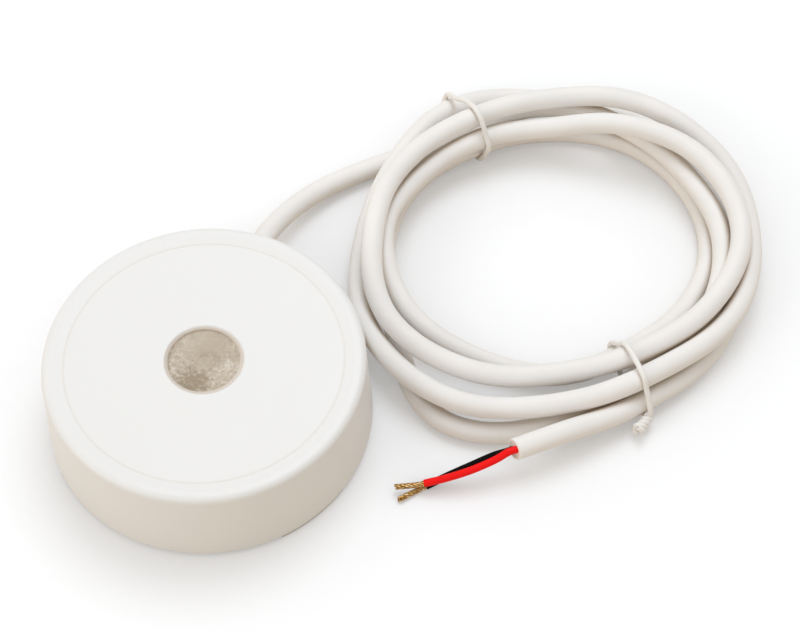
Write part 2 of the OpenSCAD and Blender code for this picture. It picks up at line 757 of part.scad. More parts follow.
module back_tie() {
  color("white") cable_tie(back_tie_turn, back_tie_ring, back_tie_knot);
}

module front_tie() {
  color("white") cable_tie(front_tie_turn, front_tie_ring, front_tie_knot);
}

// Stripped end
module red_core() { color("red") tube(red_path, core_d, cord_sides); }
module black_core() { color("black") tube(black_path, core_d, cord_sides); }
module copper_end(path, tip) { color("peru") tube(copper_path(path, tip), copper_d, cord_sides); }
module red_copper() { copper_end(red_path, red_copper_tip); }
module black_copper() { copper_end(black_path, black_copper_tip); }

top_cover();
window_lens();
lens_retainer();
base_plate();
rim_gasket();
foot_pads();
circuit_board();
board_screws();
contact_screws();
contact_nuts();
status_led();
sensing_chip();
chip_legs();
chip_resistors();
chip_capacitors();
part_terminals();
filter_capacitor();
output_transistor();
transistor_legs();
solder_joints();
inner_red_wire();
inner_black_wire();
cable_entry();
cable_clamp();
clamp_screws();
cable_grommet();
cable_lead();
cable_coil();
cable_tail();
back_tie();
front_tie();
red_core();
black_core();
red_copper();
black_copper();
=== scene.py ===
import json
import math
import random

import bmesh
import bpy
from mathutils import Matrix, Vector


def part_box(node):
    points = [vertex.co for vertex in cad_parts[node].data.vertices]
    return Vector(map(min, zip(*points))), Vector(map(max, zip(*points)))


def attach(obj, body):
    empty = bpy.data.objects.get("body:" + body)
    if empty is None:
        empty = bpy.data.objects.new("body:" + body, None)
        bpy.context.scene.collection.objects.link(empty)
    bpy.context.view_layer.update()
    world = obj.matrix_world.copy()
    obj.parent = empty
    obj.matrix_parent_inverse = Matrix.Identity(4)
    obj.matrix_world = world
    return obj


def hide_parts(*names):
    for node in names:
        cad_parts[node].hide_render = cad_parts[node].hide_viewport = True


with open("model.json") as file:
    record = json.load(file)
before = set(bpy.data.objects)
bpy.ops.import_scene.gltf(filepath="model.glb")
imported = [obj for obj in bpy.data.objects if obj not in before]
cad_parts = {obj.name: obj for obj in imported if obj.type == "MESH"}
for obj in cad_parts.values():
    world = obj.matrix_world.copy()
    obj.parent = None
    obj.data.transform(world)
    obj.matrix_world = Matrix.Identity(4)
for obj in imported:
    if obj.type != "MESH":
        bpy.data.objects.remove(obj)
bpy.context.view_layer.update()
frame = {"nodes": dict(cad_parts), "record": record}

MM = 0.001
scene = bpy.context.scene
nodes = frame["nodes"]
rng = random.Random(7)

# Camera: the photograph's view, from the front and above. Place and clipping are in metres, the elevation
# in degrees, the focal length and sensor in mm
CAMERA_PLACE = (0.0325, -0.1757, 0.2985)
CAMERA_ELEVATION = 56.9
FOCAL_LENGTH = 90
SENSOR_WIDTH = 36
CLIP_NEAR = 0.01
CLIP_FAR = 20


def make_camera():
    data = bpy.data.cameras.new("camera")
    data.sensor_fit = "HORIZONTAL"
    data.sensor_width = SENSOR_WIDTH
    data.lens = FOCAL_LENGTH
    data.clip_start = CLIP_NEAR
    data.clip_end = CLIP_FAR
    camera = bpy.data.objects.new("camera", data)
    camera.location = CAMERA_PLACE
    camera.rotation_euler = (math.radians(90 - CAMERA_ELEVATION), 0, 0)
    scene.collection.objects.link(camera)
    scene.camera = camera


# Shader nodes. Noise mostly stays between these two values
NOISE_LOW = 0.3
NOISE_HIGH = 0.7


def new_material(name):
    mat = bpy.data.materials.new(name)
    mat.use_nodes = True
    tree = mat.node_tree
    return mat, tree, tree.nodes["Principled BSDF"]


def set_inputs(node, **values):
    """Sets a node's inputs by their names, with _ for a space."""
    for name, value in values.items():
        node.inputs[name.replace("_", " ")].default_value = value
    return node


def add(tree, kind, **values):
    return set_inputs(tree.nodes.new(kind), **values)


def object_coords(tree):
    return tree.nodes.new("ShaderNodeTexCoord").outputs["Object"]


def separate(tree, vector):
    node = tree.nodes.new("ShaderNodeSeparateXYZ")
    tree.links.new(vector, node.inputs["Vector"])
    return node.outputs


def noise(tree, coords, scale, detail=2.0, rough=0.5):
    node = add(tree, "ShaderNodeTexNoise", Scale=scale, Detail=detail, Roughness=rough)
    tree.links.new(coords, node.inputs["Vector"])
    return node.outputs["Fac"]


def remap(tree, value, low, high, start=NOISE_LOW, end=NOISE_HIGH):
    """Runs from low to high while the value runs from start to end."""
    node = add(tree, "ShaderNodeMapRange", From_Min=start, From_Max=end, To_Min=low, To_Max=high)
    tree.links.new(value, node.inputs["Value"])
    return node.outputs["Result"]


def ramp(tree, value, stops):
    node = tree.nodes.new("ShaderNodeValToRGB")
    marks = node.color_ramp.elements
    while len(marks) < len(stops):
        marks.new(0.5)
    for mark, (place, colour) in zip(marks, stops):
        mark.position = place
        mark.color = (*colour, 1)
    tree.links.new(value, node.inputs["Fac"])
    return node.outputs["Color"]


def math_node(tree, operation, *values):
    """Each value is a number or a socket."""
    node = tree.nodes.new("ShaderNodeMath")
    node.operation = operation
    for place, value in enumerate(values):
        if isinstance(value, (int, float)):
            node.inputs[place].default_value = value
        else:
            tree.links.new(value, node.inputs[place])
    return node.outputs["Value"]


def vector_node(tree, operation, vector, other=(0, 0, 0)):
    node = tree.nodes.new("ShaderNodeVectorMath")
    node.operation = operation
    node.inputs[1].default_value = other
    tree.links.new(vector, node.inputs[0])
    return node.outputs


def radius_from_axis(tree, coords):
    flat = vector_node(tree, "MULTIPLY", coords, (1, 1, 0))["Vector"]
    return vector_node(tree, "LENGTH", flat)["Value"]


def distance_from(tree, coords, spot):
    return vector_node(tree, "DISTANCE", coords, spot)["Value"]


def level(tree, start, end):
    """1 where a surface lies level, facing up or down, and 0 where it stands upright."""
    normal = tree.nodes.new("ShaderNodeNewGeometry").outputs["Normal"]
    upward = math_node(tree, "ABSOLUTE", separate(tree, normal)["Z"])
    return remap(tree, upward, 0.0, 1.0, start, end)


def bump(tree, shader, height, strength, distance, below=None):
    node = add(tree, "ShaderNodeBump", Strength=strength, Distance=distance)
    tree.links.new(height, node.inputs["Height"])
    if below is not None:
        tree.links.new(below, node.inputs["Normal"])
    tree.links.new(node.outputs["Normal"], shader.inputs["Normal"])
    return node.outputs["Normal"]


def shade(colour, factor):
    return tuple(min(1.0, c * factor) for c in colour)


def overlay(tree, colours, colour, share, blend="MIX"):
    """The colours, with one more laid over them by its share."""
    node = add(tree, "ShaderNodeMixRGB", Color2=(*colour, 1))
    node.blend_type = blend
    tree.links.new(share, node.inputs["Fac"])
    tree.links.new(colours, node.inputs["Color1"])
    return node.outputs["Color"]


def two_tones(tree, share, first, second):
    """The first colour where the share is 0, and the second where it is 1."""
    node = add(tree, "ShaderNodeMixRGB", Color1=(*first, 1), Color2=(*second, 1))
    tree.links.new(share, node.inputs["Fac"])
    return node.outputs["Color"]


# Painted shade in crevices, tinted in where other surfaces come close: how near another surface comes, in
# metres, and the range of openness that is tinted
CREVICE_SHADE_DISTANCE = 0.0025
CREVICE_SHADE_SAMPLES = 6
CREVICE_SHADE_FULL = 0.1
CREVICE_SHADE_NONE = 0.65


def paint_crevice_shade(tree, colours, crevice_shade):
    """The colours, with painted shade tinted in where other surfaces come close."""
    nearby = add(tree, "ShaderNodeAmbientOcclusion", Distance=CREVICE_SHADE_DISTANCE)
    nearby.samples = CREVICE_SHADE_SAMPLES
    share = remap(tree, nearby.outputs["AO"], 1.0, 0.0, CREVICE_SHADE_FULL, CREVICE_SHADE_NONE)
    return overlay(tree, colours, crevice_shade, share, "MULTIPLY")


# Patches, fine grain, slow waves and uneven gloss of surfaces, depths in metres
PATCH_DETAIL = 3.0
GRAIN_DEPTH = 0.00002
WAVE_SCALE = 260
WAVE_DETAIL = 1.0
WAVE_DEPTH = 0.0002
GLOSS_VARIES = 0.06


def plastic(name, colour, rough, grain_scale=5000, grain=0.15, vary=0.03, patch_scale=120,
            specular=0.5, wave=0.0, crevice_shade=None):
    """Moulded plastic or rubber: soft colour patches, uneven gloss, a fine grain, and painted shade in
    crevices when its colour is given.
    """
    mat, tree, shader = new_material(name)
    coords = object_coords(tree)
    patch = noise(tree, coords, patch_scale, PATCH_DETAIL)
    fine = noise(tree, coords, grain_scale)
    dark = shade(colour, 1 - vary)
    pale = shade(colour, 1 + vary / 2)
    colours = ramp(tree, patch, [(NOISE_LOW, dark), (NOISE_HIGH, pale)])
    # Painted shade: crevices are darkened where other surfaces come close
    if crevice_shade:
        colours = paint_crevice_shade(tree, colours, crevice_shade)
    gloss = remap(tree, patch, rough - GLOSS_VARIES, rough + GLOSS_VARIES)
    tree.links.new(colours, shader.inputs["Base Color"])
    tree.links.new(gloss, shader.inputs["Roughness"])
    set_inputs(shader, Specular_IOR_Level=specular)
    normal = bump(tree, shader, fine, grain, GRAIN_DEPTH)
    if wave:
        bump(tree, shader, noise(tree, coords, WAVE_SCALE, WAVE_DETAIL), wave, WAVE_DEPTH, normal)
    return mat


# Painted shade in the crease round the foot of the dish's slope, a thin line: radius and width in metres,
# and how much it shows
DISH_CREASE_SHADE_R = 0.0233
DISH_CREASE_SHADE_W = 0.0003
DISH_CREASE_SHADE_SHARE = 0.8
DISH_CREASE_SHADE_COLOUR = (0.78, 0.74, 0.7)
COVER_COLOUR = (0.85, 0.85, 0.848)


def cover_plastic(name):
    """The cover's plastic, with a faint warm line of painted shade in the crease round the foot of the
    dish's slope.
    """
    mat = plastic(name, COVER_COLOUR, 0.5, vary=0.012, wave=0.05)
    tree = mat.node_tree
    base = tree.nodes["Principled BSDF"].inputs["Base Color"]
    plain = base.links[0].from_socket
    radius = radius_from_axis(tree, object_coords(tree))
    # Painted shade: a thin warm line in the crease at the foot of the dish's slope
    away = math_node(tree, "ABSOLUTE", math_node(tree, "SUBTRACT", radius, DISH_CREASE_SHADE_R))
    crease_shade = remap(tree, away, DISH_CREASE_SHADE_SHARE, 0.0, 0.0, DISH_CREASE_SHADE_W)
    tree.links.new(overlay(tree, plain, DISH_CREASE_SHADE_COLOUR, crease_shade), base)
    return mat


# Where along the marks' noise a metal's dark, plain and bright tones lie; the bright tone is painted glint
MARK_STOPS = (0.25, 0.75)
BRIGHT_STOPS = (0.3, 0.52, 0.67)
MARK_STRENGTH = 0.2
MARK_NOISE_ROUGH = 0.6
# How much smoother and rougher than its mean a metal gets
METAL_SMOOTHER = 0.08
METAL_ROUGHER = 0.1


def metal(name, colour, rough, brush=(3000, 3000, 300), vary=0.12, painted_glint=None):
    """Bare metal: drawn marks along one direction, uneven tone and gloss, and bright spots of painted glint
    when a glint colour is given.
    """
    mat, tree, shader = new_material(name)
    mapping = add(tree, "ShaderNodeMapping", Scale=brush)
    tree.links.new(object_coords(tree), mapping.inputs["Vector"])
    marks = noise(tree, mapping.outputs["Vector"], 1.0, PATCH_DETAIL, MARK_NOISE_ROUGH)
    dark = shade(colour, 1 - vary)
    # Painted glint: pale spots scattered at random by the marks' noise
    if painted_glint:
        stops = zip(BRIGHT_STOPS, (dark, colour, painted_glint))
    else:
        stops = zip(MARK_STOPS, (dark, shade(colour, 1 + vary)))
    tree.links.new(ramp(tree, marks, list(stops)), shader.inputs["Base Color"])
    gloss = remap(tree, marks, rough - METAL_SMOOTHER, rough + METAL_ROUGHER)
    tree.links.new(gloss, shader.inputs["Roughness"])
    set_inputs(shader, Metallic=1.0)
    bump(tree, shader, marks, MARK_STRENGTH, GRAIN_DEPTH)
    return mat


# Frosted lens: places on its face in metres, and tones from 0, dark, to 1, pale
FROST_Z = 0.0163
CLOUD_SCALE = 330
CLOUD_TONES = (0.35, 0.53)
FLECK_SCALE = 1500
FLECK_DETAIL = 4.0
FLECK_NOISE_ROUGH = 0.65
FLECK_MIDDLE = 0.5
FLECK_STRENGTH = 1.3
FLECK_BUMP = 0.35
FLECK_DEPTH = 0.00012
FROST_ROUGH = (0.35, 0.6)
FROST_SPECULAR = 0.3
# Calm spots with fainter flecks: place, strength there, and the distances over which it grows to full
CALM_SPOTS = [
    ((0.0005, 0.0045, FROST_Z), 0.25, 0.002, 0.006),
    ((0.0001, -0.0002, FROST_Z), 0.3, 0.001, 0.0024),
]
# Painted shade and highlights: a darker patch of painted shade at the front left, and paler patches of
# painted highlight at the left and right. Each has a place, change of tone, the distances over which it
# fades, and how far flecks break their edge
FROST_SHADE_AND_HIGHLIGHTS = [
    ((-0.0018, -0.0042, FROST_Z), -0.3, 0.0012, 0.0034),
    ((-0.0045, 0.0012, FROST_Z), 0.12, 0.0005, 0.0024),
    ((0.0044, -0.0014, FROST_Z), 0.1, 0.0008, 0.003),
]
PATCH_WOBBLE = 0.0008
FROST_TONES = [
    (0.14, (0.33, 0.265, 0.185)),
    (0.34, (0.44, 0.37, 0.285)),
    (0.5, (0.54, 0.465, 0.375)),
    (0.74, (0.72, 0.66, 0.59)),
]
# The lip and the rim round it: colour, middle, and the distances over which they begin
FROST_EDGES = [
    ((0.76, 0.7, 0.64), (-0.00008, 0.00016, FROST_Z), 0.006, 0.00612),
    (COVER_COLOUR, (-0.00002, -0.00018, 0.017), 0.00662, 0.00672),
]


def frosted_lens(name):
    """Frosted lens: tan with soft clouds and flecks, painted shade at the front left and painted highlights
    at the left and right, a paler lip.
    """
    mat, tree, shader = new_material(name)
    coords = object_coords(tree)
    cloud = remap(tree, noise(tree, coords, CLOUD_SCALE), *CLOUD_TONES)
    fleck = noise(tree, coords, FLECK_SCALE, FLECK_DETAIL, FLECK_NOISE_ROUGH)
    calm = []
    for spot, strength, start, end in CALM_SPOTS:
        calm.append(remap(tree, distance_from(tree, coords, spot), strength, FLECK_STRENGTH, start, end))
    flecked = math_node(tree, "SUBTRACT", fleck, FLECK_MIDDLE)
    tone = math_node(tree, "MULTIPLY_ADD", flecked, math_node(tree, "MINIMUM", *calm), cloud)
    wobble = remap(tree, fleck, -PATCH_WOBBLE, PATCH_WOBBLE)
    # Painted shade at the front left and painted highlights at the left and right, their edges broken by the
    # flecks
    for spot, change, start, end in FROST_SHADE_AND_HIGHLIGHTS:
        away = math_node(tree, "ADD", distance_from(tree, coords, spot), wobble)
        tone = math_node(tree, "ADD", tone, remap(tree, away, change, 0.0, start, end))
    colours = ramp(tree, tone, FROST_TONES)
    for colour, spot, start, end in FROST_EDGES:
        share = remap(tree, distance_from(tree, coords, spot), 0.0, 1.0, start, end)
        colours = overlay(tree, colours, colour, share)
    tree.links.new(colours, shader.inputs["Base Color"])
    tree.links.new(remap(tree, fleck, *FROST_ROUGH), shader.inputs["Roughness"])
    set_inputs(shader, Specular_IOR_Level=FROST_SPECULAR)
    bump(tree, shader, fleck, FLECK_BUMP, FLECK_DEPTH)
    return mat


# Circuit board: its tracks, gloss and colours, and how level a face with tracks lies
TRACK_SCALE = 130
TRACK_GAP = 0.05
TRACK_BUMP = 0.4
TRACK_DEPTH = 0.00004
BOARD_LEVEL = (0.4, 0.8)
MASK_PATCH_SCALE = 900
MASK_ROUGH = (0.25, 0.4)
MASK_GREEN = (0.012, 0.1, 0.04)
TRACK_GREEN = (0.05, 0.24, 0.1)
FIBREGLASS = (0.34, 0.34, 0.16)


def circuit_mask(name):
    """Green solder mask with raised, paler tracks on the board's faces, bare fibreglass on its edge."""
    mat, tree, shader = new_material(name)
    coords = object_coords(tree)
    tracks = add(tree, "ShaderNodeTexBrick", Scale=TRACK_SCALE, Mortar_Size=TRACK_GAP)
    tree.links.new(coords, tracks.inputs["Vector"])
    face = level(tree, *BOARD_LEVEL)
    raised = math_node(tree, "MULTIPLY", tracks.outputs["Fac"], face)
    colours = ramp(tree, raised, [(0.0, MASK_GREEN), (1.0, TRACK_GREEN)])
    colours = overlay(tree, colours, FIBREGLASS, math_node(tree, "SUBTRACT", 1.0, face))
    gloss = remap(tree, noise(tree, coords, MASK_PATCH_SCALE), *MASK_ROUGH)
    tree.links.new(colours, shader.inputs["Base Color"])
    tree.links.new(gloss, shader.inputs["Roughness"])
    bump(tree, shader, raised, TRACK_BUMP, TRACK_DEPTH)
    return mat


# The capacitor's stripe, in metres: where its soft edges begin and end from its middle, and how far it
# takes to fade towards the back; and how level the can's bare top lies
STRIPE_HALF = 0.00045
STRIPE_HALF_OUT = 0.00055
STRIPE_END = 0.0002
STRIPE_COLOUR = (0.55, 0.56, 0.6)
CAN_LEVEL = (0.6, 0.9)
CAN_COLOUR = (0.7, 0.7, 0.7)


def sleeved_can(name, colour, can):
    """A capacitor's can: a shrunk sleeve with a pale stripe down its front, and a bare metal top."""
    mat = plastic(name, colour, 0.3, vary=0.15, patch_scale=500)
    tree = mat.node_tree
    shader = tree.nodes["Principled BSDF"]
    plain = shader.inputs["Base Color"].links[0].from_socket
    mid_x, mid_y, _ = ((low + high) / 2 for low, high in zip(*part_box(can)))
    place = separate(tree, object_coords(tree))
    aside = math_node(tree, "ABSOLUTE", math_node(tree, "SUBTRACT", place["X"], mid_x))
    middle = remap(tree, aside, 1.0, 0.0, STRIPE_HALF, STRIPE_HALF_OUT)
    front = remap(tree, place["Y"], 1.0, 0.0, mid_y - STRIPE_END, mid_y)
    colours = overlay(tree, plain, STRIPE_COLOUR, math_node(tree, "MULTIPLY", middle, front))
    top = level(tree, *CAN_LEVEL)
    tree.links.new(overlay(tree, colours, CAN_COLOUR, top), shader.inputs["Base Color"])
    tree.links.new(top, shader.inputs["Metallic"])
    return mat


# The status light's epoxy
EPOXY_DARK = (0.62, 0.72, 0.62)
EPOXY_PALE = (0.82, 0.9, 0.82)
EPOXY_CLOUD_SCALE = 700
EPOXY_ROUGH = (0.08, 0.2)
EPOXY_CLEAR = 0.7
EPOXY_IOR = 1.5
EPOXY_BUMP = 0.05
EPOXY_DEPTH = 0.00005


def clear_light(name):
    """The status light's clear epoxy, with a faint cloud inside."""
    mat, tree, shader = new_material(name)
    cloud = noise(tree, object_coords(tree), EPOXY_CLOUD_SCALE, PATCH_DETAIL)
    colours = ramp(tree, cloud, [(NOISE_LOW, EPOXY_DARK), (NOISE_HIGH, EPOXY_PALE)])
    tree.links.new(colours, shader.inputs["Base Color"])
    tree.links.new(remap(tree, cloud, *EPOXY_ROUGH), shader.inputs["Roughness"])
    set_inputs(shader, Transmission_Weight=EPOXY_CLEAR, IOR=EPOXY_IOR)
    bump(tree, shader, cloud, EPOXY_BUMP, EPOXY_DEPTH)
    return mat


# The record's material slots
MATERIALS = {
    "cover_white": cover_plastic("cover_white"),
    "lens_frost": frosted_lens("lens_frost"),
    "base_white": plastic("base_white", (0.8, 0.785, 0.76), 0.55),
    "soft_white": plastic("soft_white", (0.78, 0.75, 0.7), 0.6, grain_scale=3000, grain=0.25),
    "gasket_grey": plastic("gasket_grey", (0.05, 0.05, 0.05), 0.65, vary=0.15),
    "foot_grey": plastic("foot_grey", (0.6, 0.585, 0.56), 0.7, grain_scale=2500, grain=0.3),
    "board_green": circuit_mask("board_green"),
    "screw_steel": metal("screw_steel", (0.62, 0.62, 0.61), 0.32),
    "contact_steel": metal("contact_steel", (0.7, 0.69, 0.67), 0.25, brush=(4000, 400, 4000)),
    "light_clear": clear_light("light_clear"),
    "chip_black": plastic("chip_black", (0.022, 0.022, 0.023), 0.5, vary=0.2, patch_scale=800),
    "tinned": metal("tinned", (0.7, 0.7, 0.69), 0.3, brush=(2000, 2000, 2000)),
    "ceramic_tan": plastic("ceramic_tan", (0.42, 0.28, 0.16), 0.4, vary=0.1, patch_scale=900),
    "sleeve_blue": sleeved_can("sleeve_blue", (0.02, 0.03, 0.12), "filter_capacitor"),
    # The jacket's crevice colour is painted shade, darkening the crevices between strands
    "jacket_white": plastic(
        "jacket_white", (0.893, 0.877, 0.864), 0.6, grain_scale=2600, grain=0.12, specular=0.3,
        wave=0.08, crevice_shade=(0.62, 0.5, 0.36),
    ),
    "core_red": plastic(
        "core_red", (0.96, 0.008, 0.008), 0.5, vary=0.06, patch_scale=600, specular=0.15,
    ),
    "core_black": plastic(
        "core_black", (0.004, 0.003, 0.0025), 0.55, vary=0.2, patch_scale=600, specular=0.05,
    ),
    # The copper's pale tone is painted glint
    "copper": metal(
        "copper", (0.42, 0.23, 0.06), 0.13, brush=(2200, 2200, 2200), vary=0.45,
        painted_glint=(0.68, 0.54, 0.36),
    ),
    "tie_white": plastic("tie_white", (0.88, 0.862, 0.838), 0.4, grain_scale=3000, grain=0.1),
}

# Curves and tubes
ALONG_X = Vector((1, 0, 0))
ALONG_Y = Vector((0, 1, 0))
UP = Vector((0, 0, 1))
# An end's rolled edge: the radius of each ring and how far it stands out, in parts of the tube's radius
END_ROLL = [(0.97, 0.02), (0.9, 0.05)]
# The edge of an end's hollow, in parts of its bore and of the tube's radius
HOLLOW_EDGE = (1.08, 0.02)
# The wall of the hollow: radius in parts of its bore, and depth in parts of its full depth
HOLLOW_WALL = [(1.0, 0.3), (0.96, 1.0)]


def smooth_path(points, step):
    """A smooth curve in metres through points in mm, with points about a step, in mm, apart."""
    pts = [Vector(p) * MM for p in points]
    pts = [2 * pts[0] - pts[1]] + pts + [2 * pts[-1] - pts[-2]]
    out = []
    for i in range(1, len(pts) - 2):
        p0, p1, p2, p3 = pts[i - 1:i + 3]
        spans = ((p0, p1), (p1, p2), (p2, p3))
        k0, k1, k2 = ((b - a).length ** 0.5 for a, b in spans)
        m1 = (p1 - p0) / k0 - (p2 - p0) / (k0 + k1) + (p2 - p1) / k1
        m2 = (p2 - p1) / k1 - (p3 - p1) / (k1 + k2) + (p3 - p2) / k2
        count = max(1, round((p2 - p1).length / (step * MM)))
        for j in range(count):
            t = j / count
            out.append((2 * t ** 3 - 3 * t ** 2 + 1) * p1 + (t ** 3 - 2 * t ** 2 + t) * k1 * m1
                       + (3 * t ** 2 - 2 * t ** 3) * p2 + (t ** 3 - t ** 2) * k1 * m2)
    out.append(pts[-2])
    return out


def frames(path):
    """At each point: the direction and two sides that turn as little as possible. No path starts upright."""
    last = len(path) - 1
    dirs = [(path[min(i + 1, last)] - path[max(i - 1, 0)]).normalized() for i in range(last + 1)]
    side = dirs[0].cross(UP)
    out = []
    for d in dirs:
        side = (side - side.dot(d) * d).normalized()
        out.append((d, side, d.cross(side)))
    return out


def ring_of(bm, centre, side, up, radius, sides):
    turns = [2 * math.pi * k / sides for k in range(sides)]
    return [bm.verts.new(centre + radius * math.cos(a) * side + radius * math.sin(a) * up) for a in turns]


def skin(bm, a, b):
    """Smooth faces between two rings."""
    for k in range(len(a)):
        m = (k + 1) % len(a)
        face = bm.faces.new((a[k], b[k], b[m], a[m]))
        face.smooth = True


def end_rings(radius, cut, bore):
    """The radius of each ring that closes an end, and how far it stands out."""
    rings = [(part * radius, push * radius) for part, push in END_ROLL]
    if bore:
        rings.append((HOLLOW_EDGE[0] * bore, HOLLOW_EDGE[1] * radius))
        rings += [(part * bore, -sink * cut) for part, sink in HOLLOW_WALL]
    return rings


def tube_into(bm, path, radius, sides, cut=0.0, bore=0.0, slant=None):
    """A round tube along a path. A cut end has a rolled edge and a shallow hollow, and can be slanted."""
    shape = frames(path)
    if slant is not None:
        d, side, up = shape[-1]
        shape[-1] = (d, side + slant.dot(side) * d, up + slant.dot(up) * d)
    rings = [ring_of(bm, point, side, up, radius, sides) for point, (_, side, up) in zip(path, shape)]
    for a, b in zip(rings, rings[1:]):
        skin(bm, a, b)
    for end, sign in ((0, -1), (-1, 1)):
        d, side, up = shape[end]
        ring = rings[end]
        for r, push in end_rings(radius, cut, bore):
            inner = ring_of(bm, path[end] + sign * push * d, side, up, r, sides)
            if sign > 0:
                skin(bm, ring, inner)
            else:
                skin(bm, inner, ring)
            ring = inner
        bm.faces.new(ring if sign < 0 else list(reversed(ring)))


def finish_mesh(bm, name, slot, body="sensor", replaces=()):
    bmesh.ops.recalc_face_normals(bm, faces=bm.faces)
    mesh = bpy.data.meshes.new(name)
    bm.to_mesh(mesh)
    bm.free()
    obj = bpy.data.objects.new(name, mesh)
    scene.collection.objects.link(obj)
    mesh.materials.append(MATERIALS[slot])
    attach(obj, body)
    if replaces:
        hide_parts(*replaces)
    return obj


def press_flat(bm):
    """Flattens what would reach below the floor that the part lies on."""
    for vert in bm.verts:
        vert.co.z = max(vert.co.z, 0.0)


def tube(name, path, radius, slot, replaces, **shape):
    bm = bmesh.new()
    tube_into(bm, path, radius, **shape)
    press_flat(bm)
    return finish_mesh(bm, name, slot, replaces=replaces)


# The cable's route in mm, as in the source: out of the wall, then the lead, the coil and the tail
EXIT_TURN = math.radians(76)
EXIT_DIR = Vector((math.cos(EXIT_TURN), math.sin(EXIT_TURN), 0))
EXIT_H = 6.0
ENTRY_START = 15.46
BOOT_END = 31.6
ENTRY_STOPS = (ENTRY_START, 20.0, 25.0, BOOT_END)
LEAD = [
    (9.3, 35.2, 5.2), (11.4, 38.8, 4.2), (14.6, 42.8, 3.2), (18.6, 46.4, 2.5),
    (23.2, 49.4, 2.0), (28.0, 51.8, 1.9), (33.0, 54.0, 1.9), (37.4, 56.0, 1.9),
]
TAIL = [(70.0, -2.5, 3.9), (65.7, -4.8, 4.7), (61.3, -6.9, 5.6), (57.2, -8.7, 6.0), (51.7, -10.8, 5.8)]
# The coil: how far the cable lies from the coil's middle, and how high, at the twelve hours of each turn.
# Its start and an hour's turn are in degrees
COIL_MID = Vector((60.5, 32.5, 0))
COIL_START_TURN = 120
HOUR_TURN = 30
REACH = [
    31.4, 30.9, 28.6, 28.2, 29.7, 30.1, 29.5, 35.6, 41.0, 33.4, 30.9, 29.7,
    27.1, 27.5, 28.6, 28.7, 27.9, 25.7, 24.9, 26.2, 27.5, 30.7, 30.9, 28.0,
    25.4, 24.0, 25.7, 30.4, 32.7, 30.7, 28.4, 28.6, 32.9, 35.4, 32.3, 30.4,
    28.1, 28.6, 32.8, 35.7, 35.0, 34.4, 32.8, 34.8, 38.9, 38.6, 34.5, 33.3,
    35.6, 35.0, 34.2, 33.4, 32.4, 33.6, 34.5,
]
HEIGHT = [
    2.8, 5.3, 6.2, 6.2, 5.9, 4.4, 3.1, 1.9, 1.9, 1.9, 1.9, 1.9,
    2.8, 1.9, 1.9, 1.9, 1.9, 1.9, 3.0, 1.9, 2.8, 5.8, 7.9, 6.2,
    7.0, 7.6, 10.6, 10.4, 9.2, 8.9, 7.7, 6.6, 7.4, 8.9, 12.0, 10.0,
    10.4, 10.4, 9.3, 6.2, 5.3, 6.5, 7.3, 6.8, 6.3, 5.9, 4.7, 6.1,
    5.0, 1.9, 1.9, 1.9, 1.9, 1.9, 2.9,
]
LAST_HOUR = len(REACH) - 1
POINTS_PER_HOUR = 4
# Part of an hour over which the coil's direction at its two ends is taken
AIM_STEP = 0.1
CABLE_R = 1.9
CABLE_STEP = 1.0
CABLE_SIDES = 28
CABLE_BORE = 1.3
CABLE_CUT = 0.04
# How far the cut's edge runs on, in each direction, per length across the cable
CUT_SLANT = Vector((0.0, 0.14, -0.21))


def hour_value(values, s):
    """The value at a place counted in hours from the coil's start, smooth between the hours."""
    i = min(int(s), LAST_HOUR - 1)
    t = s - i
    a, b, c, d = (values[min(max(k, 0), LAST_HOUR)] for k in (i - 1, i, i + 1, i + 2))
    square = 2 * a - 5 * b + 4 * c - d
    cube = 3 * b - a - 3 * c + d
    return b + t * (c - a) / 2 + t ** 2 * square / 2 + t ** 3 * cube / 2


def polar(turn, reach, z):
    a = math.radians(turn)
    return COIL_MID + Vector((reach * math.cos(a), reach * math.sin(a), z))


def coil_at(s):
    z = max(CABLE_R, hour_value(HEIGHT, s))
    return polar(COIL_START_TURN - HOUR_TURN * s, hour_value(REACH, s), z)


def exit_point(out):
    """A point in the cable's entry, so far out from the body's axis."""
    return EXIT_DIR * out + Vector((0, 0, EXIT_H))


def cable_path():
    coil = [coil_at(k / POINTS_PER_HOUR) for k in range(LAST_HOUR * POINTS_PER_HOUR + 1)]
    entry = [exit_point(out) for out in ENTRY_STOPS]
    lead = [entry[-1] + CABLE_R * EXIT_DIR] + [Vector(p) for p in LEAD]
    into = (coil_at(AIM_STEP) - coil[0]).normalized()
    out_of = (coil[-1] - coil_at(LAST_HOUR - AIM_STEP)).normalized()
    first = coil[0] - 2 * CABLE_R * into
    last = coil[-1] + 2 * CABLE_R * out_of
    route = entry + lead + [first - CABLE_R * into, first] + coil + [last, last + CABLE_R * out_of]
    route += [Vector(p) for p in TAIL]
    return smooth_path(route, CABLE_STEP)


def make_cable():
    path = cable_path()
    cable = tube("cable", path, CABLE_R * MM, "jacket_white",
                 ("cable_entry", "cable_lead", "cable_coil", "cable_tail"),
                 sides=CABLE_SIDES, cut=CABLE_CUT * MM, bore=CABLE_BORE * MM, slant=CUT_SLANT)
    return cable, path


# The two insulated cores at the stripped end, in mm
CORE_R = 0.65
CORE_OFFSET = 0.7
CORE_TURN = math.radians(57)
CORE_INSIDE = 2
CORE_STEP = 0.4
CORE_SIDES = 14
CORE_BORE = 0.5
CORE_CUT = 0.3
RED = [(48.7, -12.4, 5.4), (44.5, -13.9, 4.3), (40.2, -14.8, 3.1), (36.6, -15.2, 2.05)]
BLACK = [(48.5, -11.3, 4.8), (44.4, -12.7, 3.7), (40.4, -13.8, 2.0), (38.0, -14.5, 0.9), (36.9, -15.0, 0.7)]
RED_TIP = (31.6, -15.6, 1.5)
BLACK_TIP = (32.2, -17.6, 0.7)


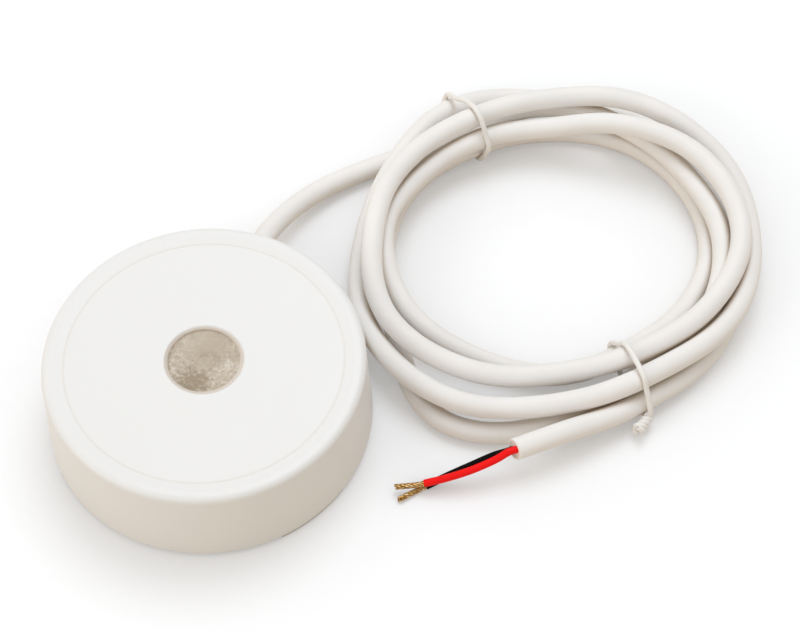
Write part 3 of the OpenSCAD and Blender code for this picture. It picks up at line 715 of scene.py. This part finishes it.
def core_route(side, points):
    """A core's points, from inside the cable's end to where its insulation stops."""
    end = Vector(TAIL[-1])
    direction = (end - Vector(TAIL[-2])).normalized()
    across = direction.cross(UP).normalized()
    up = across.cross(direction)
    start = end + side * CORE_OFFSET * (math.cos(CORE_TURN) * across - math.sin(CORE_TURN) * up)
    leaves = start + 2 * CORE_R * direction
    return [start - CORE_INSIDE * direction, start, leaves] + [Vector(p) for p in points]


def make_core(name, route, slot, replaces):
    return tube(name, smooth_path(route, CORE_STEP), CORE_R * MM, slot, replaces,
                sides=CORE_SIDES, cut=CORE_CUT * MM, bore=CORE_BORE * MM)


# Copper strands, in mm: six laid round one in the middle. All but the first may end early, by fewer
# than CUT_STEPS steps
OUTER_STRANDS = 6
STRAND_R = 0.165
STRAND_LAY = 0.325
STRAND_PITCH = 5.5
STRAND_STEP = 0.12
STRAND_INSIDE = 1.2
STRAND_SPREAD = 0.06
CUT_STEPS = 5
FINE_SIDES = 8


def make_strands(name, route, tip, replaces):
    """A bare copper end: seven strands laid round each other, cut unevenly."""
    start = route[-1]
    direction = (start - route[-2]).normalized()
    points = [start - STRAND_INSIDE * direction, start, start + direction, tip]
    axis = smooth_path(points, STRAND_STEP)
    shape = frames(axis)
    bm = bmesh.new()
    for k in range(OUTER_STRANDS + 1):
        lay = 0.0 if k == OUTER_STRANDS else STRAND_LAY * MM
        short = 0 if k == 0 else rng.randrange(0, CUT_STEPS)
        strand = []
        for i in range(len(axis) - short):
            _, side, up = shape[i]
            turn = 2 * math.pi * (k / OUTER_STRANDS + i * STRAND_STEP / STRAND_PITCH)
            spread = lay * (1 + STRAND_SPREAD * (i / len(axis)) ** 3)
            strand.append(axis[i] + spread * (math.cos(turn) * side + math.sin(turn) * up))
        tube_into(bm, strand, STRAND_R * MM, FINE_SIDES)
    return finish_mesh(bm, name, "copper", replaces=replaces)


# Wire ties: each one's turn round the coil in degrees, its reach and height in mm as it goes round the
# bundle, and the direction of its knot
TIES = {
    "back_tie": (120.5, [
        (37.7, 4.0), (38.1, 5.6), (37.3, 7.4), (34.4, 9.2), (30.8, 12.0), (28.2, 12.9), (26.1, 12.2),
        (24.2, 9.5), (22.9, 7.2), (23.5, 5.0), (24.7, 2.2), (26.0, 0.5), (29.2, 0.4), (32.4, 0.4),
        (35.2, 1.6), (36.9, 2.8),
    ], (0.2, 0.5, -0.9)),
    "front_tie": (-67, [
        (37.9, 3.1), (37.6, 4.5), (36.7, 5.9), (35.5, 7.6), (34.4, 9.3), (32.9, 9.9), (28.2, 10.1),
        (26.4, 9.3), (25.5, 7.5), (23.3, 4.8), (22.5, 2.9), (23.0, 0.9), (24.4, 0.4), (30.2, 0.4),
        (34.6, 0.4), (36.8, 0.8), (37.8, 1.9),
    ], (-0.6, -0.7, -0.4)),
}
# Sizes in mm; the ties are a little thicker than the source's, which stay clear of the cable
TIE_R = 0.48
TIE_STEP = 0.25
TIE_SIDES = 14
KNOT_LEN = 3.6
KNOT_RINGS = 12
KNOT_TWISTS = 2
KNOT_GAP = 0.02
# The knot's ends open from this part of its length on
KNOT_OPENS = 0.6
KNOT_FLARE = 7.0
# The steel wire in a tie's ends: how far it reaches in and stands out
WIRE_R = 0.16
WIRE_IN = 0.4
WIRE_OUT = 0.12


def tie_route(turn, spots, knot):
    """A tie's points: one end's twist, the ring round the bundle, and the other end's twist."""
    ring = [polar(turn, r, z) for r, z in spots]
    root = (ring[0] + ring[-1]) / 2
    up = (ring[0] - ring[-1]).normalized()
    knot = Vector(knot)
    direction = (knot - knot.dot(up) * up).normalized()
    across = direction.cross(up)

    def twist(side):
        out = []
        for k in range(1, KNOT_RINGS + 1):
            a = 2 * math.pi * KNOT_TWISTS * k / KNOT_RINGS
            flare = 1 + KNOT_FLARE * max(0.0, k / KNOT_RINGS - KNOT_OPENS) ** 2
            aside = (TIE_R + KNOT_GAP) * flare * side * (math.cos(a) * up + math.sin(a) * across)
            out.append(root + direction * KNOT_LEN * k / KNOT_RINGS + aside)
        return out

    return list(reversed(twist(1))) + ring + twist(-1)


def make_tie(name, turn, spots, knot):
    path = smooth_path(tie_route(turn, spots, knot), TIE_STEP)
    bm = bmesh.new()
    for end, before in ((path[0], path[1]), (path[-1], path[-2])):
        out = (end - before).normalized() * MM
        tube_into(bm, [end - WIRE_IN * out, end, end + WIRE_OUT * out], WIRE_R * MM, FINE_SIDES)
    core = finish_mesh(bm, name + "_core", "screw_steel")
    return [tube(name + "_wire", path, TIE_R * MM, "tie_white", (name,), sides=TIE_SIDES), core]


# Inner wires, in mm, along the cable's entry, across it and up
BOARD_TOP = 7.2
BOARD_FLAT = 11.46
PAD_ALONG = 8.16
PAD_ACROSS = 2.5
PAD_RISE = 0.8
# Points over the board's edge: along from its flat side, across, and above its top
INNER_RISE = ((1.6, 1.1, 0.8), (-0.2, 1.7, 2.0), (-2.0, 2.3, 2.6))
INNER_INSIDE = 1.5
INNER_OUT = 1.3
INNER_DROP = 1.3
INNER_STEP = 0.3
INNER_SIDES = 12


def make_inner_wire(name, side, slot):
    """A core from the cable's inner end, over the board's edge, down to its pad."""
    start = Vector((ENTRY_START, side * CORE_OFFSET, EXIT_H))
    end = Vector((PAD_ALONG, side * PAD_ACROSS, BOARD_TOP + PAD_RISE))
    rise = [Vector((BOARD_FLAT + u, side * v, BOARD_TOP + z)) for u, v, z in INNER_RISE]
    local = [start + INNER_INSIDE * ALONG_X, start, start - INNER_OUT * ALONG_X, *rise,
             end + INNER_DROP * UP, end]
    across = Vector((-EXIT_DIR.y, EXIT_DIR.x, 0))
    world = [p.x * EXIT_DIR + p.y * across + p.z * UP for p in local]
    path = smooth_path(world, INNER_STEP)
    tube(name + "_tube", path, CORE_R * MM, slot, (name,), sides=INNER_SIDES)


def make_cords():
    cable, path = make_cable()
    red_route = core_route(-1, RED)
    black_route = core_route(1, BLACK)
    pieces = [
        nodes["cable_grommet"],
        make_core("red_core_tube", red_route, "core_red", ("red_core",)),
        make_core("black_core_tube", black_route, "core_black", ("black_core",)),
        make_strands("red_strands", red_route, RED_TIP, ("red_copper",)),
        make_strands("black_strands", black_route, BLACK_TIP, ("black_copper",)),
    ]
    for name, tie in TIES.items():
        pieces += make_tie(name, *tie)
    make_inner_wire("inner_red_wire", -1, "core_red")
    make_inner_wire("inner_black_wire", 1, "core_black")


# The lens, turned as in the source, with a soft hollow and ring in its face and a lip on the window's edge.
# Radii and heights in mm; a swell has a place, a width and a height
LENS_R = 6.25
LENS_FACE = 16.55
LENS_HOLLOW = 0.35
LENS_RING = (1.55, 0.32, 0.22)
LENS_MOAT = (6.05, 0.12, 0.2)
LENS_LIP = [(6.23, 16.62), (6.29, 16.73), (6.4, 16.84), (6.52, 16.96), (6.63, 17.07), (6.7, 17.12),
            (6.78, 17.13), (6.82, 17.11), (6.82, 17.08), (6.3, 16.68)]
LENS_BELOW = [(6.25, 15.35), (8.5, 15.35), (8.5, 14.2), (2.5, 14.2), (2.5, 14.8)]
LENS_STEPS = 60
LENS_SIDES = 128
# Faces this far above the flange are smooth
LENS_SMOOTH_RISE = 0.5


def lens_height(r):
    def swell(place, width, rise):
        return rise * math.exp(-((r - place) / width) ** 2)
    hollow = LENS_HOLLOW * (1 - (r / LENS_R) ** 2)
    return LENS_FACE - hollow + swell(*LENS_RING) - swell(*LENS_MOAT)


def make_lens():
    reach = LENS_LIP[0][0]
    radii = [reach * k / LENS_STEPS for k in range(1, LENS_STEPS)]
    outline = [(r, lens_height(r)) for r in radii] + LENS_LIP + LENS_BELOW
    bm = bmesh.new()
    rings = [ring_of(bm, z * UP * MM, ALONG_X, ALONG_Y, r * MM, LENS_SIDES) for r, z in outline]
    for a, b in zip(rings, rings[1:]):
        skin(bm, a, b)
    bm.faces.new(rings[0])
    bm.faces.new(list(reversed(rings[-1])))
    smooth_from = (LENS_BELOW[0][1] + LENS_SMOOTH_RISE) * MM
    for face in bm.faces:
        face.smooth = face.calc_center_median().z > smooth_from
    finish_mesh(bm, "frosted_lens", "lens_frost", "cover", ("window_lens",))


def dress_nodes():
    """Gives each CAD node the material of its slot."""
    slots = {part["node"]: part["material_slot"] for part in frame["record"]["subparts"]}
    for name, obj in nodes.items():
        for place in obj.material_slots:
            place.material = MATERIALS[slots[name]]


# Floor and light, in metres and watts
FLOOR_REACH = 3.0
FLOOR_Z = -0.00005
FLOOR_ROUGH = 0.9
FLOOR_SPECULAR = 0.1
# The floor's colour for light that bounces off it, and for rays that show it
FLOOR_BOUNCE = (0.76, 0.65, 0.51)
FLOOR_SEEN = (0.574, 0.584, 0.599)
# The floor's glow where it is seen, fainter where the part stands close over it, which paints a shadow
# round the part: the strengths, the openness at each, and how near counts as close
FLOOR_GLOW = (0.28, 0.45)
FLOOR_OPEN = (0.4, 1.0)
FLOOR_NEAR = 0.02
# The world's colour and strength as light, and the white that rays see of it
WHITE = (1, 1, 1)
SKY_COLOUR = (1.0, 0.948, 0.88)
SKY_STRENGTH = 0.61
SEEN_STRENGTH = 1.0
LAMPS = {
    "key": {"place": (0.1, 0.31, 0.72), "target": (0.03, 0.01, 0), "size": 0.45, "power": 2.35,
            "colour": (0.88, 0.955, 1.03)},
    "fill": {"place": (-0.62, -0.36, 0.4), "target": (0.03, 0.01, 0.01), "size": 0.5, "power": 1.45,
             "colour": (1.0, 0.97, 0.93)},
}


def seen_directly(tree):
    """1 for the rays that show the background: from the camera, in gloss and through clear pieces."""
    rays = tree.nodes.new("ShaderNodeLightPath").outputs
    sharp = math_node(tree, "MAXIMUM", rays["Is Camera Ray"], rays["Is Glossy Ray"])
    return math_node(tree, "MAXIMUM", sharp, rays["Is Transmission Ray"])


def floor_material():
    """A pale floor that glows where it is seen, less so close to the part, which paints a shadow round it.
    """
    mat, tree, shader = new_material("floor_white")
    shown = seen_directly(tree)
    tree.links.new(two_tones(tree, shown, FLOOR_BOUNCE, FLOOR_SEEN), shader.inputs["Base Color"])
    set_inputs(shader, Roughness=FLOOR_ROUGH, Specular_IOR_Level=FLOOR_SPECULAR)
    glow = add(tree, "ShaderNodeEmission", Color=(*WHITE, 1))
    # Painted shadow: the glow fades where the part stands close over the floor
    nearby = add(tree, "ShaderNodeAmbientOcclusion", Distance=FLOOR_NEAR)
    glow_with_painted_shadow = remap(tree, nearby.outputs["AO"], *FLOOR_GLOW, *FLOOR_OPEN)
    tree.links.new(math_node(tree, "MULTIPLY", glow_with_painted_shadow, shown), glow.inputs["Strength"])
    both = tree.nodes.new("ShaderNodeAddShader")
    tree.links.new(shader.outputs["BSDF"], both.inputs[0])
    tree.links.new(glow.outputs["Emission"], both.inputs[1])
    tree.links.new(both.outputs["Shader"], tree.nodes["Material Output"].inputs["Surface"])
    return mat


def make_floor():
    mesh = bpy.data.meshes.new("floor")
    corners = [(-1, -1), (1, -1), (1, 1), (-1, 1)]
    mesh.from_pydata([(x * FLOOR_REACH, y * FLOOR_REACH, 0) for x, y in corners], [], [(0, 1, 2, 3)])
    mesh.materials.append(floor_material())
    floor = bpy.data.objects.new("floor", mesh)
    floor.location = (0, 0, FLOOR_Z)
    scene.collection.objects.link(floor)


def area_lamp(name, place, target, size, power, colour):
    data = bpy.data.lights.new(name, "AREA")
    data.shape = "DISK"
    data.size = size
    data.energy = power
    data.color = colour
    lamp = bpy.data.objects.new(name, data)
    lamp.location = place
    aim = Vector(target) - Vector(place)
    lamp.rotation_euler = aim.to_track_quat("-Z", "Y").to_euler()
    scene.collection.objects.link(lamp)


def make_light():
    world = bpy.data.worlds.new("studio")
    world.use_nodes = True
    scene.world = world
    tree = world.node_tree
    back = tree.nodes["Background"]
    shown = seen_directly(tree)
    tree.links.new(two_tones(tree, shown, SKY_COLOUR, WHITE), back.inputs["Color"])
    tree.links.new(remap(tree, shown, SKY_STRENGTH, SEEN_STRENGTH, 0.0, 1.0), back.inputs["Strength"])
    for name, lamp in LAMPS.items():
        area_lamp(name, **lamp)


make_camera()
make_cords()
make_lens()
dress_nodes()
make_floor()
make_light()
scene.view_settings.view_transform = "Standard"

bpy.context.view_layer.update()
